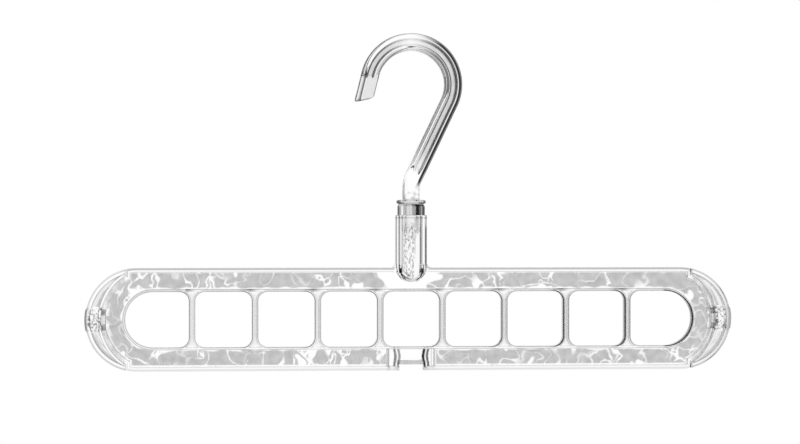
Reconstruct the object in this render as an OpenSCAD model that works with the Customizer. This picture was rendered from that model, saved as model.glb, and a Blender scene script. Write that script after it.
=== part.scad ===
// Clear multi-port scarf hanger with a swivel hook, in millimetres.
// Origin: the centre of the hook's crook, where the rod lies.
// +X runs along the frame to the right, +Y away from the viewer and +Z up.

/* [Hook bar] */
// Radius of the crook, to the middle of the bar
crook_r = 22.8; // [20:0.1:28]
// Width of the bar, seen from the front
bar_w = 9.7; // [8:0.1:11]
// Depth of the bar, front to back
bar_d = 8; // [6:0.1:9]
// Rounding along the bar's edges
bar_edge_r = 2.4; // [0.5:0.1:2.6]
// Width of the channel along the bar's front and back
channel_w = 3.2; // [2:0.1:4]
// Depth of each channel
channel_d = 2.2; // [1:0.1:2.4]
// How far the channel runs past the crook into the tip
channel_over = 2.6; // [0:0.1:5]
// Slant of the leg from the vertical
leg_angle = 25.5; // [20:0.5:32]
// Radius of the bend from the leg into the neck
bend_r = 16; // [10:1:18]
// Radius of the round neck over the flange
neck_r = 4.7; // [4.2:0.05:5.5]
// Length of the neck, from the flange to the bend
neck_len = 5.8; // [3:0.1:12]
// Slant of the straight tip from the vertical
tip_angle = 14; // [5:0.5:25]
// Length of the straight tip
tip_len = 14.7; // [10:0.1:20]
// Rounding of the tip's two corners
tip_corner_r = 1.6; // [0.5:0.1:3]
// Slant of the tip's end, as its extra length outside for each mm across
tip_slant = 0.5; // [0:0.05:0.8]

/* [Hook swivel] */
// Radius of the flange under the neck
flange_r = 8.05; // [7:0.05:9]
// Thickness of the flange
flange_t = 2.2; // [1.5:0.1:3]
// Radius of the stem that turns in the bush
stem_r = 3; // [2.5:0.1:3.5]
// Radius of the snap head's shoulder
head_r = 4; // [3.6:0.1:4.4]
// Radius of the snap head's end
head_end_r = 2.4; // [1.6:0.1:3]
// Length of the snap head
head_len = 4.4; // [3:0.1:8]
// Width of the slot that lets the snap head spring
slot_w = 1.2; // [0.8:0.1:1.6]
// How far the slot runs up the stem over the shoulder
slot_rise = 5; // [2:0.5:7]

/* [Swivel bush] */
// Radius of the band that shows over the socket
band_r = 7.5; // [6.5:0.1:8.2]
// Height of the band
band_h = 4.9; // [3:0.1:8]
// Radius of the raised seat under the flange
seat_r = 7; // [5:0.1:7.4]
// Height of the raised seat
seat_h = 0.95; // [0.5:0.05:2]
// Length of the sleeve pressed into the socket
sleeve_len = 9; // [6:0.5:14]

/* [Frame] */
// Height of the frame over all
frame_h = 55.4; // [50:0.2:62]
// Depth of the outer rim, front to back
rim_d = 7; // [5:0.1:9]
// Thickness of the outer rim, seen from the front
rim_t = 2.4; // [1.6:0.1:3.2]
// Thickness of the web between the rims
web_t = 2.4; // [1.6:0.1:3]
// How far the frame's own rim runs past the centre of its end port
seam_reach = 14.5; // [12:0.1:17]

/* [Ports] */
// Number of square ports between the two end ports
square_ports = 7; // [3:2:9]
// Distance from one port to the next
pitch = 33.7; // [31:0.1:38]
// Width of the dividers between ports
divider_w = 3.4; // [3:0.1:5]
// Height of the ports
port_h = 29.6; // [26:0.1:33]
// Corner radius of the ports
port_corner_r = 5.1; // [3:0.1:8]
// Length of an end port from its divider to the centre of its round end
end_port_len = 19.1; // [15:0.1:24]
// Thickness of the lip round each port
lip_t = 1.3; // [0.8:0.1:1.5]
// Depth of the port lips, front to back
lip_d = 6; // [4:0.1:7]

/* [Socket] */
// Radius of the socket tube
socket_r = 8.7; // [8:0.1:10]
// Radius of the socket's bore
socket_bore_r = 5; // [4.6:0.1:6]
// Height of the socket over the top rail
socket_rise = 28.3; // [20:0.1:34]
// How far the socket's round foot reaches below the top of the rail
socket_sink = 7.9; // [6:0.1:10]
// Thickness of the socket's floor
socket_floor = 1.9; // [1.2:0.1:3]
// Radius of the fillets where the socket meets the rail
foot_fillet_r = 2; // [1:0.1:3]

/* [Catch under the middle port] */
// Width of the notch in the bottom rim
catch_w = 13.4; // [12:0.1:16]
// Height of the notch
catch_h = 3.2; // [2.6:0.1:4]
// Thickness of the bar over the notch
catch_bar_t = 2.2; // [1.5:0.1:2.6]
// Thickness of the ribs on each side of the notch
catch_rib_t = 2.2; // [1.5:0.1:3]
// Distance from the notch's centre to its outer ribs
outer_rib_x = 12.8; // [12:0.1:15]
// Thickness of the outer ribs
outer_rib_t = 1.2; // [0.8:0.1:1.8]

/* [End caps] */
// How far a cap stands out from the frame's end
cap_reach = 8.3; // [7:0.1:10]
// Thickness of the cap's walls where they meet the frame
cap_wall_t = 1.3; // [1:0.1:1.8]
// Thickness of the cap's web
cap_web_t = 2; // [1.5:0.1:3]
// Height of the solid tab in the middle of the cap
tab_h = 14; // [12:0.1:18]
// Depth of the tab, front to back
tab_d = 5; // [3.6:0.1:6]
// How far the thumb pad stands proud of the cap's edge
pad_proud = 0.4; // [0.2:0.1:1]
// Distance of each latch tongue from the middle of the cap
latch_z = 4; // [3.2:0.1:4.6]
// Height of a latch tongue
latch_h = 3; // [2:0.1:3.4]
// Depth of a latch tongue, front to back
latch_d = 3; // [2:0.1:3.4]
// How far the latch's barb stands over its tongue
barb = 0.4; // [0.2:0.1:0.6]
// Length of the latch's barb
barb_len = 1; // [0.6:0.1:1.4]

/* [Clearances] */
// Radial clearance of the stem in the bush
stem_gap = 0.06; // [0.02:0.01:0.1]
// End play of the hook, over and under the bush
end_play = 0.15; // [0.1:0.05:0.3]
// Clearance of the pressed sleeve in the socket, each side
sleeve_gap = 0.03; // [0.01:0.01:0.05]
// Clearance of the end caps against the frame
cap_gap = 0.12; // [0.05:0.01:0.2]

/* [Hidden] */
$fn = 96;
// How far runs that join reach into one another
overlap = 0.5;
// How much slimmer a straight run of the bar is than the bend that it joins
run_step = 0.03;

// The hook, from the crook down
leg_len = crook_r / tan(leg_angle) - bend_r * tan(leg_angle / 2);
bend_z = -crook_r / sin(leg_angle) - bend_r * tan(leg_angle / 2);
flange_z = bend_z - neck_len;
crook_turn = 180 - tip_angle + leg_angle;

// The swivel stack, from the flange down
bush_z = flange_z - flange_t - end_play;
socket_z = bush_z - seat_h - band_h;
sleeve_z = socket_z - sleeve_len;
shoulder_z = sleeve_z - end_play;

// The frame
half_h = frame_h / 2;
rail_z = socket_z - socket_rise;
frame_z = rail_z - half_h;
socket_ball_z = rail_z - socket_sink + socket_r;
bore_ball_z = rail_z - socket_sink + socket_floor + socket_bore_r;

// The row of ports and the frame's ends
port_w = pitch - divider_w;
row_end = square_ports * pitch / 2 + divider_w / 2;
end_x = row_end + end_port_len;
cap_x = end_x + cap_reach;
seam_x = end_x + seam_reach;
notch_z = -half_h + catch_h;
lip_foot_z = -port_h / 2 - lip_t;

// The latch of an end cap
barb_top = latch_z + latch_h / 2 + barb;
wall_in_x = end_x + sqrt(pow(half_h - rim_t, 2) - pow(barb_top, 2));
wall_out_x = end_x + half_h + cap_gap;

// Cross-section of the hook's bar without its channels, made slimmer by a given amount
module bar_section(inset = 0) {
    r = bar_edge_r - inset;
    w = bar_w - 2 * bar_edge_r;
    d = bar_d - 2 * bar_edge_r;
    square([w, d + 2 * r], center = true);
    square([w + 2 * r, d], center = true);
    for (x = [-1, 1], y = [-1, 1])
        translate([x * w / 2, y * d / 2]) circle(r);
}

// Cross-section of the two channels, front and back, made larger by a given amount
module channel_section(grow = 0) {
    for (s = [-1, 1])
        translate([0, s * bar_d / 2])
            square([channel_w + 2 * grow, 2 * (channel_d + grow)], center = true);
}

// A section swept round the crook
module round_crook() {
    rotate([90, 0, 0]) rotate([0, 0, -leg_angle])
        rotate_extrude(angle = crook_turn) translate([crook_r, 0]) children();
}

// Places children with their Z along the leg, from the crook down
module on_leg() {
    translate([crook_r * cos(leg_angle), 0, -crook_r * sin(leg_angle)])
        rotate([0, 180 + leg_angle, 0]) children();
}

// Places children with their Z along the tip, from the crook down
module on_tip() {
    translate([-crook_r * cos(tip_angle), 0, crook_r * sin(tip_angle)])
        rotate([0, 180 + tip_angle, 0]) children();
}

// A straight run of the bar, which reaches back into the bend before it
module bar_run(length) {
    translate([0, 0, -overlap]) linear_extrude(length + overlap) bar_section(run_step);
}

// The tip's bar, with a slanted end and its two lower corners rounded
module tip_bar() {
    w = bar_w / 2 + overlap;
    x = bar_w / 2 - tip_corner_r;
    long_y = tip_len - tip_corner_r + tip_slant * x;
    short_y = tip_len - tip_corner_r - tip_slant * x;
    slope = sqrt(1 + pow(tip_slant, 2));
    edge_x = tip_corner_r * tip_slant / slope;
    edge_y = tip_corner_r / slope;
    intersection() {
        bar_run(tip_len + tip_slant * bar_w / 2 + overlap);
        rotate([90, 0, 0]) linear_extrude(bar_d + 2 * overlap, center = true) {
            polygon([
                [-w, -2 * overlap], [w, -2 * overlap], [w, long_y],
                [x, long_y], [-x, short_y], [-w, short_y]
            ]);
            polygon([
                [-x, 0], [x, 0], [x, long_y], [x - edge_x, long_y + edge_y],
                [-x - edge_x, short_y + edge_y], [-x, short_y]
            ]);
            translate([x, long_y]) circle(tip_corner_r);
            translate([-x, short_y]) circle(tip_corner_r);
        }
    }
}

// A straight channel, which reaches back into the one before it and ends round
module channel_run(length) {
    translate([0, 0, -overlap]) linear_extrude(length + overlap) channel_section(run_step);
    for (s = [-1, 1])
        translate([0, s * bar_d / 2, length]) rotate([90, 0, 0])
            cylinder(r = channel_w / 2 + run_step, h = 2 * (channel_d + run_step), center = true);
}

// The bend from the leg into the neck
module neck_bend() {
    translate([bend_r, 0, bend_z]) rotate([90, 0, 0]) rotate([0, 0, 180 - leg_angle])
        rotate_extrude(angle = leg_angle) translate([bend_r, 0]) bar_section();
}

// The round neck, with a domed top inside the bend
module neck() {
    translate([0, 0, flange_z - flange_t / 2]) cylinder(r = neck_r, h = neck_len + flange_t / 2);
    translate([0, 0, bend_z]) sphere(r = neck_r);
}

// The flange, with a rounded edge
module flange() {
    translate([0, 0, flange_z - flange_t]) rotate_extrude() {
        square([flange_r - flange_t / 2, flange_t]);
        translate([flange_r - flange_t / 2, flange_t / 2]) circle(flange_t / 2);
    }
}

// The stem with its split snap head
module stem() {
    head_z = shoulder_z - head_len;
    difference() {
        union() {
            translate([0, 0, shoulder_z]) cylinder(r = stem_r, h = flange_z - flange_t / 2 - shoulder_z);
            translate([0, 0, head_z]) cylinder(r1 = head_end_r, r2 = head_r, h = head_len);
        }
        translate([-slot_w / 2, -head_r - overlap, head_z - overlap])
            cube([slot_w, 2 * (head_r + overlap), head_len + slot_rise + overlap]);
    }
}

module hook() {
    color("ghostwhite") {
        difference() {
            union() {
                round_crook() bar_section();
                on_leg() bar_run(leg_len + overlap);
                on_tip() tip_bar();
                neck_bend();
            }
            round_crook() channel_section();
            on_leg() channel_run(leg_len - channel_w / 2);
            on_tip() channel_run(max(channel_over - channel_w / 2, 0));
        }
        neck();
        flange();
        stem();
    }
}

module swivel_bush() {
    color("gainsboro") difference() {
        union() {
            translate([0, 0, bush_z - seat_h - overlap]) cylinder(r = seat_r, h = seat_h + overlap);
            translate([0, 0, socket_z]) cylinder(r = band_r, h = band_h);
            translate([0, 0, sleeve_z])
                cylinder(r = socket_bore_r - sleeve_gap, h = sleeve_len + overlap);
        }
        translate([0, 0, sleeve_z - overlap])
            cylinder(r = stem_r + stem_gap, h = bush_z - sleeve_z + 2 * overlap);
    }
}

// A long shape with two round ends, whose centres lie at -cx and cx
module stadium(cx, r) {
    square([2 * cx, 2 * r], center = true);
    for (s = [-1, 1])
        translate([s * cx, 0]) circle(r);
}

// The frame's outline, made smaller all round by a given amount
module frame_outline(inset) {
    r = half_h - inset;
    stadium(end_x, r);
    intersection() {
        stadium(cap_x, r);
        square([2 * (seam_x - inset), 2 * half_h], center = true);
    }
}

// One square port, made larger all round by a given amount
module square_port(grow) {
    r = port_corner_r + grow;
    w = port_w + 2 * grow;
    h = port_h + 2 * grow;
    square([w - 2 * r, h], center = true);
    square([w, h - 2 * r], center = true);
    for (x = [-1, 1], y = [-1, 1])
        translate([x * (w / 2 - r), y * (h / 2 - r)]) circle(r);
}

// The right end port, flat towards its divider and round outside
module end_port(grow) {
    straight_h = port_h - 2 * port_corner_r;
    translate([row_end, 0]) {
        translate([end_port_len, 0]) circle(port_h / 2 + grow);
        translate([port_corner_r, -port_h / 2 - grow])
            square([end_port_len - port_corner_r, port_h + 2 * grow]);
        translate([-grow, -straight_h / 2]) square([port_corner_r + grow, straight_h]);
        for (s = [-1, 1])
            translate([port_corner_r, s * straight_h / 2]) circle(port_corner_r + grow);
    }
}

// All ports, each made larger by a given amount
module ports(grow) {
    for (i = [0 : square_ports - 1])
        translate([(i - (square_ports - 1) / 2) * pitch, 0]) square_port(grow);
    end_port(grow);
    mirror([1, 0]) end_port(grow);
}

// Turns a front outline, drawn in X and Z round the frame's middle, into a plate
module plate(depth) {
    translate([0, 0, frame_z]) rotate([90, 0, 0])
        linear_extrude(depth, center = true) children();
}

// The ribs beside the notch, seen from the front
module catch_ribs() {
    rib_h = half_h + lip_foot_z - rim_t;
    for (s = [-1, 1]) {
        translate([s * (catch_w + catch_rib_t) / 2, -half_h + (rib_h + rim_t) / 2])
            square([catch_rib_t, rib_h + rim_t], center = true);
        translate([s * outer_rib_x, -half_h + rim_t + rib_h / 2])
            square([outer_rib_t, rib_h + overlap], center = true);
    }
}

// What the catch takes out of the bottom rim
module notch() {
    translate([-catch_w / 2, -half_h - overlap]) square([catch_w, catch_h + overlap]);
}

// The outer rim with the bar and ribs of the catch
module rim() {
    difference() {
        union() {
            difference() {
                frame_outline(0);
                frame_outline(rim_t);
            }
            catch_ribs();
            translate([-catch_w / 2 - overlap, notch_z])
                square([catch_w + 2 * overlap, catch_bar_t]);
        }
        notch();
    }
}

// The lips: one round the whole row, and one round each port
module lips() {
    difference() {
        union() {
            difference() {
                stadium(end_x, port_h / 2 + lip_t);
                stadium(end_x, port_h / 2);
            }
            ports(lip_t);
        }
        ports(0);
    }
}

module web() {
    difference() {
        frame_outline(rim_t - overlap);
        ports(lip_t / 2);
        notch();
    }
}

// The fillets where the socket's tube meets the top rim
module foot_fillets() {
    tube_x = sqrt(pow(socket_r, 2) - pow(rim_d / 2, 2)) - overlap;
    reach = socket_r + foot_fillet_r;
    for (s = [0, 1])
        mirror([s, 0]) difference() {
            translate([tube_x, half_h - overlap])
                square([reach - tube_x, foot_fillet_r + overlap]);
            translate([reach, half_h + foot_fillet_r]) circle(foot_fillet_r);
        }
}

// The slots in the frame's right end that take a cap's two tongues
module latch_slots() {
    slot_h = latch_h + 2 * cap_gap;
    window_h = slot_h + 2 * barb;
    window_len = barb_len + 3 * cap_gap;
    for (s = [-1, 1])
        translate([wall_in_x, 0, frame_z + s * latch_z]) {
            translate([-overlap, -latch_d / 2 - cap_gap, -slot_h / 2])
                cube([end_x + half_h - wall_in_x + 2 * overlap, latch_d + 2 * cap_gap, slot_h]);
            translate([-window_len, -latch_d / 2 - cap_gap, -window_h / 2])
                cube([window_len, latch_d + 2 * cap_gap, window_h]);
        }
}

module frame() {
    color("whitesmoke") difference() {
        union() {
            plate(rim_d) rim();
            plate(lip_d) lips();
            plate(web_t) web();
            plate(rim_d) foot_fillets();
            translate([0, 0, socket_ball_z]) {
                cylinder(r = socket_r, h = socket_z - socket_ball_z);
                sphere(r = socket_r);
            }
        }
        translate([0, 0, bore_ball_z]) {
            cylinder(r = socket_bore_r, h = socket_z - bore_ball_z + overlap);
            sphere(r = socket_bore_r);
        }
        latch_slots();
        mirror([1, 0, 0]) latch_slots();
    }
}

// The right cap's outline, made smaller all round by a given amount
module cap_outline(outer_inset, inner_inset) {
    difference() {
        translate([cap_x, 0]) circle(half_h - outer_inset);
        translate([end_x, 0]) circle(half_h + cap_gap + inner_inset);
        translate([end_x - half_h, -half_h - overlap])
            square([half_h + seam_reach + cap_gap + inner_inset, frame_h + 2 * overlap]);
    }
}

// The right cap's thumb pad, over the middle of its edge
module thumb_pad() {
    intersection() {
        difference() {
            translate([cap_x, 0]) circle(half_h + pad_proud);
            translate([cap_x, 0]) circle(half_h - rim_t / 2);
        }
        translate([cap_x, -tab_h / 2 + cap_wall_t]) square([half_h + 1, tab_h - 2 * cap_wall_t]);
    }
}

// The right cap's two latch tongues with their barbs
module latch_tongues() {
    inner_x = wall_in_x - cap_gap;
    for (s = [-1, 1])
        translate([0, 0, frame_z + s * latch_z]) {
            translate([inner_x - barb_len, -latch_d / 2, -latch_h / 2])
                cube([wall_out_x + cap_wall_t - inner_x + barb_len, latch_d, latch_h]);
            translate([inner_x - barb_len, -latch_d / 2, -latch_h / 2 - barb])
                cube([barb_len, latch_d, latch_h + 2 * barb]);
        }
}

module right_cap_body() {
    plate(rim_d) difference() {
        cap_outline(0, 0);
        cap_outline(rim_t, cap_wall_t);
    }
    plate(cap_web_t) cap_outline(rim_t / 2, cap_wall_t / 2);
    plate(tab_d) intersection() {
        cap_outline(rim_t / 2, cap_wall_t / 2);
        translate([end_x, -tab_h / 2]) square([half_h + cap_reach, tab_h]);
    }
    plate(rim_d) thumb_pad();
    latch_tongues();
}

module right_end_cap() {
    color("lightcyan") right_cap_body();
}

module left_end_cap() {
    color("lightcyan") mirror([1, 0, 0]) right_cap_body();
}

frame();
hook();
swivel_bush();
left_end_cap();
right_end_cap();
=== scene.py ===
"""Clear nine-port scarf hanger with a swivel hook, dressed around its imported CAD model.

Sizes are millimetres in the drawing functions and metres in the meshes. +X is right, +Z up.
"""

import math

import bmesh
import bpy
import numpy as np
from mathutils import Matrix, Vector, noise
from mathutils.geometry import delaunay_2d_cdt


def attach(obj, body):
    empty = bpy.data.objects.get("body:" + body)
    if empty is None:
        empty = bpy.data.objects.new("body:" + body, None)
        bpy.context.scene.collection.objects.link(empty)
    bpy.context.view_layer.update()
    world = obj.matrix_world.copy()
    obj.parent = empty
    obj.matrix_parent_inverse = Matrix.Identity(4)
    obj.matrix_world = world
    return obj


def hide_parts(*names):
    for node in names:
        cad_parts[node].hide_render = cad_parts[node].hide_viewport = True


MM = 0.001
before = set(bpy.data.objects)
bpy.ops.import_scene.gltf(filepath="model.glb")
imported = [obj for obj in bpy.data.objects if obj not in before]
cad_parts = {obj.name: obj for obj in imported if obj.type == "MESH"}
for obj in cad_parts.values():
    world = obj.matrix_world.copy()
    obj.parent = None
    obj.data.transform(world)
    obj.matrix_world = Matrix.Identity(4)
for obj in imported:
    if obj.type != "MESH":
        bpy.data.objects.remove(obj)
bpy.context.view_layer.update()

# Hook bar
CROOK_R = 22.8
BAR_W = 9.7
BAR_D = 8.0
BAR_EDGE_R = 2.4
CHANNEL_W = 3.2
CHANNEL_D = 2.2
CHANNEL_SLANT = 0.35
CHANNEL_LIP_R = 0.3
CHANNEL_FLOOR_R = 0.4
CHANNEL_OVER = 2.6
CHANNEL_RUNOUT = 1.6
LEG_ANGLE = math.radians(25.5)
BEND_R = 16.0
NECK_R = 4.7
NECK_LEN = 5.8
TIP_ANGLE = math.radians(14)
TIP_LEN = 14.7
TIP_CORNER_R = 1.6
TIP_EDGE_R = 0.7
TIP_SLANT = 0.5

# Hook swivel
FLANGE_R = 8.05
FLANGE_T = 2.2
STEM_R = 3.0
HEAD_R = 4.0
HEAD_END_R = 2.4
HEAD_LEN = 4.4
SLOT_W = 1.2
SLOT_RISE = 5.0
END_PLAY = 0.15

# Swivel bush
BAND_R = 7.5
BAND_H = 4.9
SEAT_R = 7.0
SEAT_H = 0.95
SLEEVE_LEN = 9.0
BUSH_BORE_R = 3.06
SLEEVE_R = 4.97
BUSH_EDGE_R = 0.3

# Frame
FRAME_H = 55.4
RIM_D = 7.0
RIM_T = 2.4
RIM_EDGE_R = 0.6
WEB_T = 2.4
SEAM_REACH = 14.5
SQUARE_PORTS = 7
PITCH = 33.7
DIVIDER_W = 3.4
PORT_H = 29.6
PORT_CORNER_R = 5.1
END_PORT_LEN = 19.1
LIP_T = 1.3
LIP_D = 6.0
LIP_EDGE_R = 0.45
SOCKET_R = 8.7
SOCKET_EDGE_R = 0.7
SOCKET_BORE_R = 5.0
BORE_EDGE = 0.5
SOCKET_RISE = 28.3
SOCKET_SINK = 7.9
SOCKET_FLOOR = 1.9
FOOT_FILLET_R = 2.0

# Catch under the middle port
CATCH_W = 13.4
CATCH_H = 3.2
CATCH_BAR_T = 2.2
CATCH_RIB_T = 2.2
CATCH_EDGE_R = 0.5
OUTER_RIB_X = 12.8
OUTER_RIB_T = 1.2
RIB_FOOT = 0.3
RIB_SWAY = 0.35
RIB_HALF_WAVES = 2.5

# End caps
CAP_REACH = 8.3
CAP_WALL_T = 1.3
CAP_EDGE = 0.25
CAP_WEB_T = 2.0
TAB_H = 14.0
TAB_D = 5.0
PAD_PROUD = 0.4
LATCH_Z = 4.0
LATCH_H = 3.0
LATCH_D = 3.0
BARB = 0.4
BARB_LEN = 1.0
CAP_GAP = 0.12

# Heights and places that follow
LEG_LEN = CROOK_R / math.tan(LEG_ANGLE) - BEND_R * math.tan(LEG_ANGLE / 2)
BEND_Z = -CROOK_R / math.sin(LEG_ANGLE) - BEND_R * math.tan(LEG_ANGLE / 2)
FLANGE_Z = BEND_Z - NECK_LEN
BUSH_Z = FLANGE_Z - FLANGE_T - END_PLAY
SOCKET_Z = BUSH_Z - SEAT_H - BAND_H
SLEEVE_Z = SOCKET_Z - SLEEVE_LEN
SHOULDER_Z = SLEEVE_Z - END_PLAY
HEAD_Z = SHOULDER_Z - HEAD_LEN
HALF_H = FRAME_H / 2
RAIL_Z = SOCKET_Z - SOCKET_RISE
FRAME_Z = RAIL_Z - HALF_H
SOCKET_BALL_Z = RAIL_Z - SOCKET_SINK + SOCKET_R
BORE_BALL_Z = RAIL_Z - SOCKET_SINK + SOCKET_FLOOR + SOCKET_BORE_R
PORT_W = PITCH - DIVIDER_W
ROW_END = SQUARE_PORTS * PITCH / 2 + DIVIDER_W / 2
END_X = ROW_END + END_PORT_LEN
CAP_X = END_X + CAP_REACH
SEAM_X = END_X + SEAM_REACH
NOTCH_Z = -HALF_H + CATCH_H
RIB_TOP_Z = -PORT_H / 2 - LIP_T / 2
BARB_TOP = LATCH_Z + LATCH_H / 2 + BARB
LATCH_WALL_X = END_X + math.sqrt((HALF_H - RIM_T) ** 2 - BARB_TOP**2)


# Mesh helpers

def mesh_object(name, points, faces):
    """An object from points in millimetres, with its faces' normals made consistent."""
    mesh = bpy.data.meshes.new(name)
    mesh.from_pydata([(x * MM, y * MM, z * MM) for x, y, z in points], [], faces)
    edit = bmesh.new()
    edit.from_mesh(mesh)
    bmesh.ops.recalc_face_normals(edit, faces=edit.faces)
    edit.to_mesh(mesh)
    edit.free()
    piece = bpy.data.objects.new(name, mesh)
    bpy.context.scene.collection.objects.link(piece)
    return piece


def loft(name, rings, wrap=False):
    """A closed solid through rings of as many points each; with wrap, the last joins the first."""
    count = len(rings[0])
    points = [p for ring in rings for p in ring]
    faces = []
    steps = len(rings) if wrap else len(rings) - 1
    for i in range(steps):
        a = i * count
        b = (i + 1) % len(rings) * count
        for j in range(count):
            k = (j + 1) % count
            faces.append((a + j, a + k, b + k, b + j))
    if not wrap:
        faces.append(tuple(range(count)))
        faces.append(tuple(len(points) - count + j for j in range(count)))
    return mesh_object(name, points, faces)


def combine(target, tools, operation):
    """Adds the tools to the target, or cuts them out of it, and removes them."""
    for tool in tools:
        modifier = target.modifiers.new("combine", "BOOLEAN")
        modifier.operation = operation
        modifier.solver = "MANIFOLD"
        modifier.object = tool
    bpy.context.view_layer.update()
    shape = target.evaluated_get(bpy.context.evaluated_depsgraph_get())
    mesh = bpy.data.meshes.new_from_object(shape)
    target.modifiers.clear()
    target.data = mesh
    for tool in tools:
        bpy.data.objects.remove(tool)
    return target


def union(pieces):
    """The first piece with the others added to it."""
    return combine(pieces[0], pieces[1:], "UNION")


def smooth(piece, degrees):
    """Smooth shading, with edges sharper than this angle kept crisp."""
    piece.data.shade_smooth()
    piece.data.set_sharp_from_angle(angle=math.radians(degrees))
    return piece


def arc(cx, cz, r, start, end, steps):
    """Points on an arc, from one angle to another in degrees, both included."""
    turns = [math.radians(start + (end - start) * i / steps) for i in range(steps + 1)]
    return [(cx + r * math.cos(a), cz + r * math.sin(a)) for a in turns]


def line(start, end, steps):
    """Points from start up to, but not with, end."""
    return [
        (start[0] + (end[0] - start[0]) * i / steps, start[1] + (end[1] - start[1]) * i / steps)
        for i in range(steps)
    ]


def bead(width, depth, edge):
    """A rounded rectangle as (distance across, depth) points, for a rim or lip."""
    half = depth / 2
    points = arc(edge, half - edge, edge, 180, 90, 4)
    points += line((edge, half), (width - edge, half), 4)[1:]
    points += arc(width - edge, half - edge, edge, 90, 0, 4)
    return points + [(across, -y) for across, y in reversed(points)]


def swept_loop(name, outline, profile):
    """A rim along an outline, which is a function of the distance across the rim."""
    rings = [[(x, y, FRAME_Z + z) for x, z in outline(across)] for across, y in profile]
    return loft(name, rings, wrap=True)


def box(name, low, high):
    """A box from its lowest to its highest corner."""
    corners = [
        (x, y, z)
        for x in (low[0], high[0])
        for y in (low[1], high[1])
        for z in (low[2], high[2])
    ]
    faces = [(0, 1, 3, 2), (4, 6, 7, 5), (0, 4, 5, 1), (2, 3, 7, 6), (0, 2, 6, 4), (1, 5, 7, 3)]
    return mesh_object(name, corners, faces)


def centred_box(name, x1, x2, half_d, z, half_h):
    """A box between two X places, centred front to back and about a height."""
    low = (min(x1, x2), -half_d, z - half_h)
    high = (max(x1, x2), half_d, z + half_h)
    return box(name, low, high)


def full_turn(steps):
    """Angles once round, in even steps."""
    return [2 * math.pi * i / steps for i in range(steps)]


def axis_rings(profile, angles):
    """A ring about the swivel axis for each (radius, height) point."""
    return [[(r * math.cos(a), r * math.sin(a), z) for a in angles] for r, z in profile]


def turned(name, profile):
    """A solid of revolution about the swivel axis from (radius, height) points, axis to axis."""
    return loft(name, axis_rings(profile, full_turn(192)))


# The hook

TIP_STEPS = 28
CROOK_STEPS = 120
LEG_STEPS = 60
BEND_STEPS = 16


def bar_section(channel, narrow, roundness, half_w, half_d):
    """The bar's section: channel depth share, channel width share, and share of the round neck."""
    r = min(BAR_EDGE_R, half_w * 0.9, half_d * 0.9)
    lip = CHANNEL_LIP_R
    half_c = (CHANNEL_W / 2 + CHANNEL_SLANT) * narrow
    floor_c = (CHANNEL_W / 2 - CHANNEL_SLANT) * narrow
    floor_r = CHANNEL_FLOOR_R * narrow
    front = [(half_w, 0), (half_w, (half_d - r) / 2)]
    front += arc(half_w - r, half_d - r, r, 0, 90, 9)
    u_face = half_w - r
    front += [(u_face + (half_c + lip - u_face) * i / 4, half_d) for i in range(1, 4)]
    groove = arc(half_c + lip, half_d - lip, lip, 90, 165, 4)
    floor = arc(floor_c - floor_r, half_d - CHANNEL_D + floor_r, floor_r, -15, -90, 4)
    groove += line(groove[-1], floor[0], 4)[1:] + floor
    front += [(u, half_d - (half_d - v) * channel) for u, v in groove]
    front.append((0, half_d - CHANNEL_D * channel))
    half = front + [(-u, v) for u, v in reversed(front[:-1])]
    section = half[:-1] + [(-u, -v) for u, v in half[:-1]]
    return toward_neck(section, roundness) if roundness > 0 else section


def toward_neck(section, share):
    """A section moved this share of the way to the neck's circle."""
    moved = []
    for u, v in section:
        a = math.atan2(v, u)
        moved.append((
            u + (NECK_R * math.cos(a) - u) * share,
            v + (NECK_R * math.sin(a) - v) * share,
        ))
    return moved


def ease(t):
    """A smooth step from 0 to 1, for one number."""
    t = min(max(t, 0), 1)
    return t * t * (3 - 2 * t)


def beyond(place, way, distance):
    """The stop at a distance from a place along a direction, as (x, z, direction)."""
    return place[0] + distance * math.cos(way), place[1] + distance * math.sin(way), way


def hook_route():
    """(x, z, direction, distance) along the bar's middle, from the tip down to the neck."""
    tip_top = (-CROOK_R * math.cos(TIP_ANGLE), CROOK_R * math.sin(TIP_ANGLE))
    tip_way = math.radians(90) - TIP_ANGLE
    shares = [1 - ease(i / TIP_STEPS) / 2 - i / TIP_STEPS / 2 for i in range(TIP_STEPS + 1)]
    stops = [beyond(tip_top, tip_way, -TIP_LEN * share) for share in shares]
    start = math.pi - TIP_ANGLE
    turn = start + LEG_ANGLE
    for i in range(1, CROOK_STEPS + 1):
        a = start - turn * i / CROOK_STEPS
        stops.append((CROOK_R * math.cos(a), CROOK_R * math.sin(a), a - math.pi / 2))
    leg_top = stops[-1]
    for i in range(1, LEG_STEPS + 1):
        stops.append(beyond(leg_top, leg_top[2], LEG_LEN * i / LEG_STEPS))
    for i in range(1, BEND_STEPS + 1):
        a = math.pi - LEG_ANGLE + LEG_ANGLE * i / BEND_STEPS
        way = a + math.pi / 2 - 2 * math.pi
        stops.append((BEND_R + BEND_R * math.cos(a), BEND_Z + BEND_R * math.sin(a), way))
    route = [(*stops[0], 0)]
    for (last_x, last_z, _), (x, z, way) in zip(stops, stops[1:]):
        run = route[-1][3] + math.hypot(x - last_x, z - last_z)
        route.append((x, z, way, run))
    return route


def end_round(r, run):
    """What a rounded end takes off a side at a distance from the end, as 0 or less."""
    return math.sqrt(r**2 - (r - run) ** 2) - r if run < r else 0


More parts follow.
